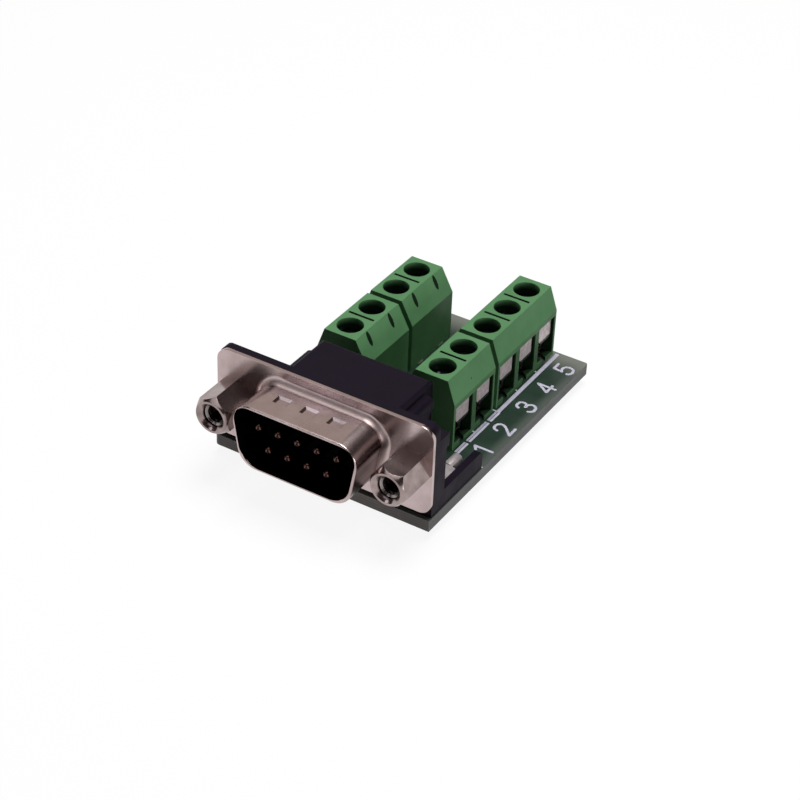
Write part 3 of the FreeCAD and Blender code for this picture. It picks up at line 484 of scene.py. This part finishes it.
def add_bar(shape, x, y):
    """A printed bar between two limits on X and two on Y, in millimetres."""
    limits = [[limit * mm for limit in sorted(pair)] for pair in (x, y)]
    limits.append([board_top - ink_sunk, board_top + ink_thick])
    sizes = [high - low for low, high in limits]
    centre = [(high + low) / 2 for low, high in limits]
    bmesh.ops.create_cube(shape, size=1.0, matrix=Matrix.Translation(centre)
                          @ Matrix.Diagonal((*sizes, 1)))


# The lines run along Y beside the terminals, the stubs, the cross line and the dash along X.
thin_lines = ((10.76, 10.86), (10.90, 11.03), (11.12, 11.44))
thin_runs = ((13.42, 15.84), (16.24, 21.08), (21.48, 23.72))
broad_line, broad_run = (10.80, 11.34), (23.72, 39.60)
stub_end = 10.74
stubs = ((10.46, 18.41), (10.52, 29.29), (10.52, 34.37))
stub_half = 0.12
cross_start, cross_run = 2.9, (23.70, 23.96)
dash_run, dash_y = (14.85, 15.32), (12.50, 12.72)
printed = bmesh.new()
for hand in (1, -1):
    for run in thin_runs:
        for near_x, far_x in thin_lines:
            add_bar(printed, (near_x * hand, far_x * hand), run)
    add_bar(printed, [limit * hand for limit in broad_line], broad_run)
    for stub_x, stub_y in stubs:
        add_bar(printed, (stub_x * hand, stub_end * hand), (stub_y - stub_half, stub_y + stub_half))
    add_bar(printed, (cross_start * hand, stub_end * hand), cross_run)
add_bar(printed, dash_run, dash_y)
make_piece("printed_lines", printed, ink)

# The numerals as strokes, each 1 high: a curve through its points, or a straight line of two.
strokes = {
    "1": [((0.10, 0.83), (0.34, 1.0)), ((0.34, 1.0), (0.34, 0.0))],
    "2": [((0.02, 0.74), (0.10, 0.93), (0.31, 1.0), (0.53, 0.92), (0.60, 0.72), (0.50, 0.50),
           (0.24, 0.24), (0.0, 0.0)), ((0.0, 0.0), (0.64, 0.0))],
    "3": [((0.03, 0.82), (0.13, 0.96), (0.31, 1.0), (0.51, 0.93), (0.57, 0.76), (0.48, 0.59),
           (0.27, 0.53)),
          ((0.27, 0.53), (0.53, 0.46), (0.62, 0.27), (0.52, 0.07), (0.30, 0.0), (0.09, 0.06),
           (0.0, 0.22))],
    "4": [((0.46, 0.0), (0.46, 1.0)), ((0.46, 1.0), (0.0, 0.28)), ((0.0, 0.28), (0.66, 0.28))],
    "5": [((0.58, 1.0), (0.12, 1.0)), ((0.12, 1.0), (0.06, 0.52)),
          ((0.06, 0.52), (0.30, 0.61), (0.54, 0.51), (0.61, 0.30), (0.51, 0.08), (0.29, 0.0),
           (0.09, 0.05), (0.0, 0.19))],
    "6": [((0.56, 0.86), (0.34, 1.0), (0.11, 0.82), (0.03, 0.42), (0.09, 0.11), (0.31, 0.0),
           (0.54, 0.09), (0.61, 0.31), (0.52, 0.52), (0.31, 0.60), (0.10, 0.49), (0.03, 0.33))],
    "7": [((0.0, 1.0), (0.62, 1.0)), ((0.62, 1.0), (0.22, 0.0))],
    "8": [((0.31, 1.0), (0.10, 0.93), (0.06, 0.77), (0.14, 0.60), (0.31, 0.54), (0.54, 0.45),
           (0.61, 0.27), (0.53, 0.07), (0.31, 0.0), (0.09, 0.07), (0.01, 0.27), (0.08, 0.45),
           (0.31, 0.54), (0.48, 0.60), (0.56, 0.77), (0.52, 0.93), (0.31, 1.0))],
    "9": [((0.06, 0.14), (0.28, 0.0), (0.51, 0.18), (0.59, 0.58), (0.53, 0.89), (0.31, 1.0),
           (0.08, 0.91), (0.01, 0.69), (0.10, 0.48), (0.31, 0.40), (0.52, 0.51), (0.59, 0.67))],
}
digit_height = 2.48 * mm
digit_raised = 0.35 * mm
stroke_width = 0.160
digit_foot_x = 14.72 * mm
digit_shift_y = 0.70 * mm
for digit in sorted(strokes):
    low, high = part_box("clamp_screw_" + digit)
    hand = 1 if int(digit) < 6 else -1
    foot = Matrix.Translation((digit_foot_x * hand, (low.y + high.y) / 2 - digit_shift_y * hand,
                               board_top))
    turn = Matrix.Rotation(math.radians(90 * hand), 4, "Z")
    shape = drawn_strokes(strokes[digit], stroke_width, "BEZIER")
    bmesh.ops.transform(shape, verts=shape.verts, matrix=foot @ turn @ Matrix.Diagonal(
        (digit_height, digit_height, digit_raised, 1)))
    make_piece("printed_digit_" + digit, shape, ink, smooth=True)

# Plug shell: nickel-plated steel sheet, drawn in one piece with its D-shaped hood.
# The draw leaves it satin and clouded, and duller in the root. The hood's flanks carry dark streaks
# as painted reflection, and the root and the dimple slopes are painted darker as painted shade.
# The inside of the hood is painted black as shade, with no metal and no sheen there.
nickel = finish_of("drawn_nickel", (0.53, 0.430, 0.425), (0.40, 0.315, 0.305), cloud_size=210,
                   grain_size=3400, smooth=0.18, rough=0.31, bump=0.22, Metallic=1.0,
                   Specular_IOR_Level=0.0)


def distance(tree, first, second):
    """How far a point is from an axis, from its two distances across it."""
    return math_node(tree, "SQRT", math_node(tree, "ADD", math_node(tree, "POWER", first, 2.0),
                                             math_node(tree, "POWER", second, 2.0)))


def hood_inside(tree):
    """1 inside the rounded D of the hood's inner wall, and 0 on its outside and on the flange."""
    place = place_of(tree)
    slant = math.radians(10)
    half_width, half_height, corner, wall_gap = 8.0 * mm, 3.975 * mm, 2.25 * mm, 0.20 * mm
    back = 0.9 * mm
    across = math_node(tree, "MULTIPLY", math_node(tree, "ABSOLUTE", place[0]), math.cos(slant))
    lean = math_node(tree, "MULTIPLY", place[2], math.sin(slant))
    past_side = math_node(tree, "SUBTRACT", math_node(tree, "SUBTRACT", across, lean),
                          half_width * math.cos(slant) - corner)
    past_top = math_node(tree, "SUBTRACT", math_node(tree, "ABSOLUTE", place[2]),
                         half_height - corner)
    from_corner = distance(tree, math_node(tree, "MAXIMUM", past_side, 0.0),
                           math_node(tree, "MAXIMUM", past_top, 0.0))
    return product(tree, below(tree, from_corner, corner + wall_gap), below(tree, place[1], back))


def dress(label, material, edge, angle=35):
    """A solid's finish, and the small rounded edges that its mould or press leaves."""
    piece = nodes[label]
    piece.material_slots[0].material = material
    piece.modifiers.new("weld", "WELD").merge_threshold = 0.001 * mm
    round_edges = piece.modifiers.new("round_edges", "BEVEL")
    round_edges.width = edge
    round_edges.segments = 2
    round_edges.limit_method = "ANGLE"
    round_edges.angle_limit = math.radians(angle)
    piece.modifiers.new("even_shading", "WEIGHTED_NORMAL").keep_sharp = True


tree = nickel.node_tree
place, facing = place_of(tree), place_of(tree, "Normal")
# Painted reflection: the flanks of the hood are painted dark in streaks.
flank = ramp(tree, math_node(tree, "ABSOLUTE", facing[0]), 0.72, 0.97, smooth=True)
hood_start = -0.9 * mm
on_hood = below(tree, place[1], hood_start)
streak_scale = (300, 120, 900)
streak_place = add_node(tree, "Mapping", {0: coordinates(tree), "Scale": streak_scale}).outputs[0]
streak = add_node(tree, "TexNoise", {"Vector": streak_place, "Scale": 1.0, "Detail": 3.0})
flank_painted_reflection = ramp(tree, streak.outputs["Fac"], 0.30, 0.55, 0.55, 0.92)
paint_over(nickel, product(tree, flank, on_hood, flank_painted_reflection), (0.055, 0.030, 0.026))
# Painted shade: the sloping faces of the dimples are painted darker.
dimple_reach_x, dimple_middle_y, dimple_reach_y = 5.3 * mm, -2.9 * mm, 1.3 * mm
level_face = 0.93
dimple_painted_shade = product(tree, below(tree, facing[2], level_face),
                  below(tree, off_middle(tree, place[0], 0.0), dimple_reach_x),
                  below(tree, off_middle(tree, place[1], dimple_middle_y), dimple_reach_y))
paint_over(nickel, dimple_painted_shade, (0.36, 0.285, 0.278))
# Painted shade: the inside of the hood is painted black, and is not metallic.
hood_painted_shade = hood_inside(tree)
paint_over(nickel, hood_painted_shade, (0.004, 0.003, 0.003))
tree.links.new(math_node(tree, "SUBTRACT", 1.0, hood_painted_shade), surface_input(tree, "Metallic"))
add_specks(nickel, scale=420, radius=0.075, share=0.10, colour=(0.10, 0.075, 0.06))
root_middle, root_reach, root_core = -0.47 * mm, 0.45 * mm, 0.25 * mm
root_dulling, root_painted_shade = 0.22, 0.55
root = ramp(tree, off_middle(tree, place[1], root_middle), root_reach, root_core)
gloss = surface_input(tree, "Roughness")
duller = math_node(tree, "ADD", gloss.links[0].from_socket, product(tree, root, root_dulling))
tree.links.new(duller, gloss)
# Painted shade: the root is painted darker, besides being duller.
paint_over(nickel, product(tree, root, root_painted_shade), (0.22, 0.165, 0.158))
dress("plug_shell", nickel, edge=0.10 * mm, angle=50)

# Black moulding behind the flange: glass-filled nylon, injected in one piece.
# It has a faint sheen and fine dust on it, and is black where the hood shades it.
black = finish_of("black_nylon", (0.0045, 0.0028, 0.0068), (0.0068, 0.0042, 0.0098),
                  cloud_size=320, grain_size=2800, smooth=0.48, rough=0.64, bump=0.5,
                  Specular_IOR_Level=0.09, Specular_Tint=(0.90, 0.72, 1.0, 1))
add_specks(black, scale=900, radius=0.10, share=0.09, colour=(0.075, 0.065, 0.085))
paint_over(black, hood_inside(black.node_tree), (0.0010, 0.0008, 0.0010))
dress("connector_body", black, edge=0.12 * mm)

# Nine plug contacts: drawn copper alloy painted nearly black as shade, tips rounded by tumbling.
# Both flanks of each tip carry a copper painted highlight. The legs behind are tinned.
# Painted shade: the contacts are painted nearly black.
contact = finish_of("contact_alloy", (0.014, 0.006, 0.005), (0.009, 0.004, 0.003), cloud_size=900,
                    grain_size=5000, smooth=0.20, rough=0.34, bump=0.3, Metallic=1.0)
tree = contact.node_tree
place = place_of(tree)
pin_pitch, row_gap = 2.77 * mm, 2.84 * mm
glint_shift, glint_slope, glint_line = 0.11 * mm, 0.42, 0.225 * mm
glint_edge, glint_core = 0.075 * mm, 0.035 * mm
dome_start, legs_start = -5.25 * mm, 2.0 * mm
# Painted highlight: a copper chevron across both flanks of each tip.
beside = math_node(tree, "PINGPONG", math_node(tree, "SUBTRACT", place[0], glint_shift),
                   pin_pitch / 4)
in_row = add_node(tree, "Math", {0: place[2], 1: row_gap, 2: 0.0}, operation="WRAP").outputs[0]
over_axis = math_node(tree, "SUBTRACT", in_row, row_gap / 2)
slope = math_node(tree, "ADD", beside, math_node(tree, "MULTIPLY", over_axis, glint_slope))
painted_glint = ramp(tree, off_middle(tree, slope, glint_line), glint_edge, glint_core)
paint_over(contact, product(tree, painted_glint, below(tree, place[1], dome_start)), (0.17, 0.082, 0.064))
paint_over(contact, beyond(tree, place[1], legs_start), (0.50, 0.40, 0.32))
for number in range(1, 10):
    nodes["contact_pin_%d" % number].material_slots[0].material = contact

# Hexagonal screwlocks: turned steel, nickel plated, with a countersunk threaded mouth.
# The thread is cut in the bore, so its ridges are a helix inside it.
steel = finish_of("turned_nickel", (0.37, 0.295, 0.285), (0.22, 0.170, 0.162), cloud_size=420,
                  grain_size=4200, smooth=0.14, rough=0.28, bump=0.3, Metallic=1.0)
add_specks(steel, scale=700, radius=0.09, share=0.08, colour=(0.14, 0.10, 0.08))
thread_steel = finish_of("thread_steel", (0.52, 0.45, 0.44), (0.36, 0.30, 0.29), cloud_size=900,
                         grain_size=5200, smooth=0.16, rough=0.30, bump=0.3, Metallic=1.0)
lock_axis_x = 12.495 * mm
bore_radius, bore_back = 1.50 * mm, -0.5 * mm
thread_pitch, thread_turns, thread_inset = 0.635 * mm, 6, 0.75 * mm
thread_root, thread_crest = 1.45 * mm, 1.14 * mm
root_half, crest_half = 0.42 * thread_pitch, 0.06 * thread_pitch
mouth_lit, mouth_dark = -5.25 * mm, -4.95 * mm
ridge_lit, ridge_dark = -5.1 * mm, -4.0 * mm
bore_black = (0.004, 0.003, 0.003)


def bore_depth(tree, start, end):
    """0 up to the depth start in the two bores, 1 from the depth end on, where no light comes."""
    place = place_of(tree)
    off_x = math_node(tree, "SUBTRACT", math_node(tree, "ABSOLUTE", place[0]), lock_axis_x)
    return product(tree, below(tree, distance(tree, off_x, place[2]), bore_radius),
                   below(tree, place[1], bore_back), ramp(tree, place[1], start, end))


def add_thread(shape, axis_x, start_y, steps=28):
    """The helical ridge inside a bore that runs along Y, spun from its section."""
    section = [shape.verts.new((axis_x + radius, start_y + shift, 0))
               for radius, shift in ((thread_root, -root_half), (thread_crest, -crest_half),
                                     (thread_crest, crest_half), (thread_root, root_half))]
    bmesh.ops.spin(shape, geom=[shape.faces.new(section)], cent=(axis_x, start_y, 0),
                   axis=(0, 1, 0), dvec=(0, thread_pitch / steps, 0),
                   angle=math.tau * thread_turns, steps=steps * thread_turns, use_duplicate=False)


paint_over(steel, bore_depth(steel.node_tree, mouth_lit, mouth_dark), bore_black)
paint_over(thread_steel, bore_depth(thread_steel.node_tree, ridge_lit, ridge_dark), bore_black)
for label in ("screwlock_left", "screwlock_right"):
    dress(label, steel, edge=0.09 * mm, angle=25)
    low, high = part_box(label)
    ridges = bmesh.new()
    add_thread(ridges, (low.x + high.x) / 2, low.y + thread_inset)
    make_piece(label + "_thread", ridges, thread_steel)

# Threaded inserts: turned brass sleeves, pressed into the end blocks of the moulding from behind.
# The studs of the screwlocks draw the flange against them.
brass = finish_of("insert_brass", (0.42, 0.27, 0.10), (0.32, 0.20, 0.08), cloud_size=700,
                  grain_size=4000, smooth=0.22, rough=0.4, bump=0.3, Metallic=1.0)
for label in ("threaded_insert_left", "threaded_insert_right"):
    nodes[label].material_slots[0].material = brass

# Ground straps: folded sheet, bright tin plated, held behind the flange by the screwlocks.
# The foot of each ends in an arch that snaps into the board.
tin = finish_of("bright_tin", (0.52, 0.46, 0.46), (0.26, 0.225, 0.235), cloud_size=600,
                grain_size=3600, smooth=0.34, rough=0.50, bump=0.35, Metallic=0.35)
for label in ("ground_strap_left", "ground_strap_right"):
    dress(label, tin, edge=0.08 * mm)

# Terminal housings: green moulded polyamide, satin, with sharp but not knife-like edges.
# No light comes far into the screw holes, grooves and wire entries, so their walls are dark.
# Each pole's screw chamber breaks through the slanted face in a narrow lens, shown as a thin dark
# sheet laid on the face: painted shade.
pitch = 5.08 * mm
screw_x = 7.1 * mm
block_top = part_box("terminal_housing_front_right")[1].z
dark_green, wall_shade = (0.0045, 0.0160, 0.0055), 0.92
hole_radius, hole_lit, hole_dark = 1.80 * mm, block_top - 0.08 * mm, block_top - 1.0 * mm
groove_half, groove_reach, groove_floor = 0.20 * mm, 1.85 * mm, block_top - 0.6 * mm
entry_lit, entry_dark, entry_inner = 10.62 * mm, 10.30 * mm, 3.1 * mm
entry_half, entry_top = 2.2 * mm, block_top - 3.98 * mm
lens_x, lens_drop = 4.189 * mm, 0.940 * mm
lens_half_length, lens_half_width, lens_thick = 1.04 * mm, 0.36 * mm, 0.02 * mm
slanted_face = math.atan2(-3.24, 1.76)


def recess_group():
    """1 on the walls of the recesses between a block's first and last pole, 0 on its outside."""
    group = bpy.data.node_groups.new("recess_walls", "ShaderNodeTree")
    for name in ("First Pole", "Last Pole"):
        group.interface.new_socket(name, in_out="INPUT", socket_type="NodeSocketFloat")
    group.interface.new_socket("Mask", in_out="OUTPUT", socket_type="NodeSocketFloat")
    given = group.nodes.new("NodeGroupInput").outputs
    first, last = given["First Pole"], given["Last Pole"]
    place = place_of(group)
    out = math_node(group, "ABSOLUTE", place[0])
    from_screw = math_node(group, "SUBTRACT", out, screw_x)
    along = math_node(group, "PINGPONG", math_node(group, "SUBTRACT", place[1], first), pitch / 2)
    hole = product(group, below(group, distance(group, from_screw, along), hole_radius),
                   ramp(group, place[2], hole_lit, hole_dark))
    groove = product(group, beyond(group, along, pitch / 2 - groove_half),
                     below(group, math_node(group, "ABSOLUTE", from_screw), groove_reach),
                     beyond(group, place[1], first), below(group, place[1], last),
                     beyond(group, place[2], groove_floor))
    entry = product(group, ramp(group, out, entry_lit, entry_dark),
                    below(group, place[2], entry_top), beyond(group, out, entry_inner),
                    beyond(group, place[1], math_node(group, "SUBTRACT", first, entry_half)),
                    below(group, place[1], math_node(group, "ADD", last, entry_half)))
    mask = math_node(group, "MAXIMUM", math_node(group, "MAXIMUM", hole, groove), entry)
    shaded = product(group, mask, wall_shade)
    group.links.new(shaded, group.nodes.new("NodeGroupOutput").inputs["Mask"])
    return group


recess = recess_group()
lens_shade = finish_of("slot_shade", dark_green, (0.002, 0.007, 0.002), cloud_size=900,
                       grain_size=4200, smooth=0.6, rough=0.8, bump=0.3, Specular_IOR_Level=0.1)
for label, first, last in (("front_right", 15.87 * mm, 20.95 * mm),
                           ("rear_right", 26.75 * mm, 36.91 * mm),
                           ("front_left", 16.92 * mm, 22.00 * mm),
                           ("rear_left", 27.80 * mm, 32.88 * mm)):
    green = finish_of("green_polyamide_" + label, (0.122, 0.290, 0.130), (0.104, 0.258, 0.110),
                      cloud_size=240, grain_size=2400, smooth=0.42, rough=0.58, bump=0.45,
                      Specular_IOR_Level=0.12)
    add_specks(green, scale=500, radius=0.06, share=0.05, colour=(0.03, 0.07, 0.03))
    walls = add_node(green.node_tree, "Group", {"First Pole": first, "Last Pole": last},
                     node_tree=recess)
    paint_over(green, walls.outputs["Mask"], dark_green)
    dress("terminal_housing_" + label, green, edge=0.07 * mm)
    hand = 1 if label.endswith("right") else -1
    lean = Matrix.Rotation(hand * slanted_face, 4, "Y")
    oval = Matrix.Diagonal((lens_half_length, lens_half_width, 1, 1))
    # Painted shade: thin dark lenses laid on the slanted face.
    lenses = bmesh.new()
    for pole in range(round((last - first) / pitch) + 1):
        spot = Matrix.Translation((hand * lens_x, first + pole * pitch, block_top - lens_drop))
        disc = bmesh.ops.create_circle(lenses, cap_ends=True, segments=40, radius=1.0)["verts"]
        bmesh.ops.transform(lenses, verts=disc, matrix=spot @ lean @ oval)
    bmesh.ops.solidify(lenses, geom=lenses.faces[:], thickness=lens_thick)
    make_piece("slot_" + label, lenses, lens_shade)

# Clamp screws: zinc-plated steel with a sawn slot, seen deep in the access holes.
# The plating is painted dark as shade down there, with bright flecks as painted glints.
zinc = finish_of("screw_zinc", (0.050, 0.055, 0.055), (0.020, 0.024, 0.022), cloud_size=900,
                 grain_size=5200, smooth=0.22, rough=0.40, bump=0.35, Metallic=1.0)
# Painted glints: bright flecks on the dark screw heads.
add_specks(zinc, scale=1500, radius=0.30, share=0.22, colour=(0.55, 0.57, 0.60))
for number in range(1, 10):
    dress("clamp_screw_%d" % number, zinc, edge=0.06 * mm)

# Wire cages: strip steel folded into a box round each contact bar, nickel plated.
# The clamp screw is threaded through the roof and lifts the floor against the wire.
cage = finish_of("cage_nickel", (0.45, 0.42, 0.40), (0.32, 0.30, 0.28), cloud_size=700,
                 grain_size=4200, smooth=0.24, rough=0.42, bump=0.3, Metallic=1.0)
for number in range(1, 10):
    nodes["wire_cage_%d" % number].material_slots[0].material = cage

# Terminal contacts: brass strip, hot tinned, bent down at the mouth of each wire entry.
# The tongues show mottled there; below them the legs above the board are painted near black as
# shade.
mottled = finish_of("mottled_tin", (0.82, 0.71, 0.72), (0.56, 0.47, 0.47), cloud_size=1500,
                    grain_size=5200, smooth=0.32, rough=0.50, bump=0.5, Metallic=0.35)
tree = mottled.node_tree
height = place_of(tree)[2]
tongue_foot = -3.42 * mm
# Painted shade: the legs inside the housing are painted near black.
painted_shade_below = product(tree, below(tree, height, tongue_foot), beyond(tree, height, board_top))
paint_over(mottled, painted_shade_below, (0.010, 0.012, 0.010))
for number in range(1, 10):
    dress("terminal_contact_%d" % number, mottled, edge=0.06 * mm)

# Solder under the board: each joint climbs its tail in a hollow curve from the tinned ring.
# It is bright and a little clouded, as it sets.
solder = finish_of("solder", (0.62, 0.61, 0.60), (0.44, 0.43, 0.42), cloud_size=1100,
                   grain_size=5200, smooth=0.14, rough=0.38, bump=0.4, Metallic=1.0)
# Centre, radius of the foot, and the half sizes of the tail that the joint closes on.
joint_sizes = [(tail, 0.90, 0.42, 0.36) for tail in plug_tails]
joint_sizes += [(tail, 1.28, 0.50, 0.70) for tail in terminal_tails]
# How much of the way in from the foot to the tail, and how far below the ring, in millimetres.
hollow_curve = ((0.34, 0.09), (0.62, 0.22), (0.84, 0.42), (1.0, 0.66), (1.5, 0.74))
joints = bmesh.new()
for tail, foot, half_x, half_y in joint_sizes:
    centre = Matrix.Translation((tail.x, tail.y, board_low.z - 0.05 * mm))
    ring = bmesh.ops.create_circle(joints, cap_ends=True, segments=32, radius=foot * mm,
                                   matrix=centre)["verts"]
    rim = list({edge for corner in ring for edge in corner.link_edges})
    wide, deep, height = foot, foot, 0.0
    for climb, drop in hollow_curve:
        drawn = bmesh.ops.extrude_edge_only(joints, edges=rim)["geom"]
        ring = [part for part in drawn if isinstance(part, bmesh.types.BMVert)]
        rim = [part for part in drawn if isinstance(part, bmesh.types.BMEdge)
               and all(corner in ring for corner in part.verts)]
        next_wide, next_deep = foot + (half_x - foot) * climb, foot + (half_y - foot) * climb
        bmesh.ops.scale(joints, verts=ring, vec=(next_wide / wide, next_deep / deep, 1),
                        space=centre.inverted())
        bmesh.ops.translate(joints, verts=ring, vec=(0, 0, (height - drop) * mm))
        wide, deep, height = next_wide, next_deep, drop
    bmesh.ops.contextual_create(joints, geom=rim)
fillets = make_piece("solder_fillets", joints, solder, smooth=True)
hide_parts("solder_joints")
nodes["solder_joints"].material_slots[0].material = solder
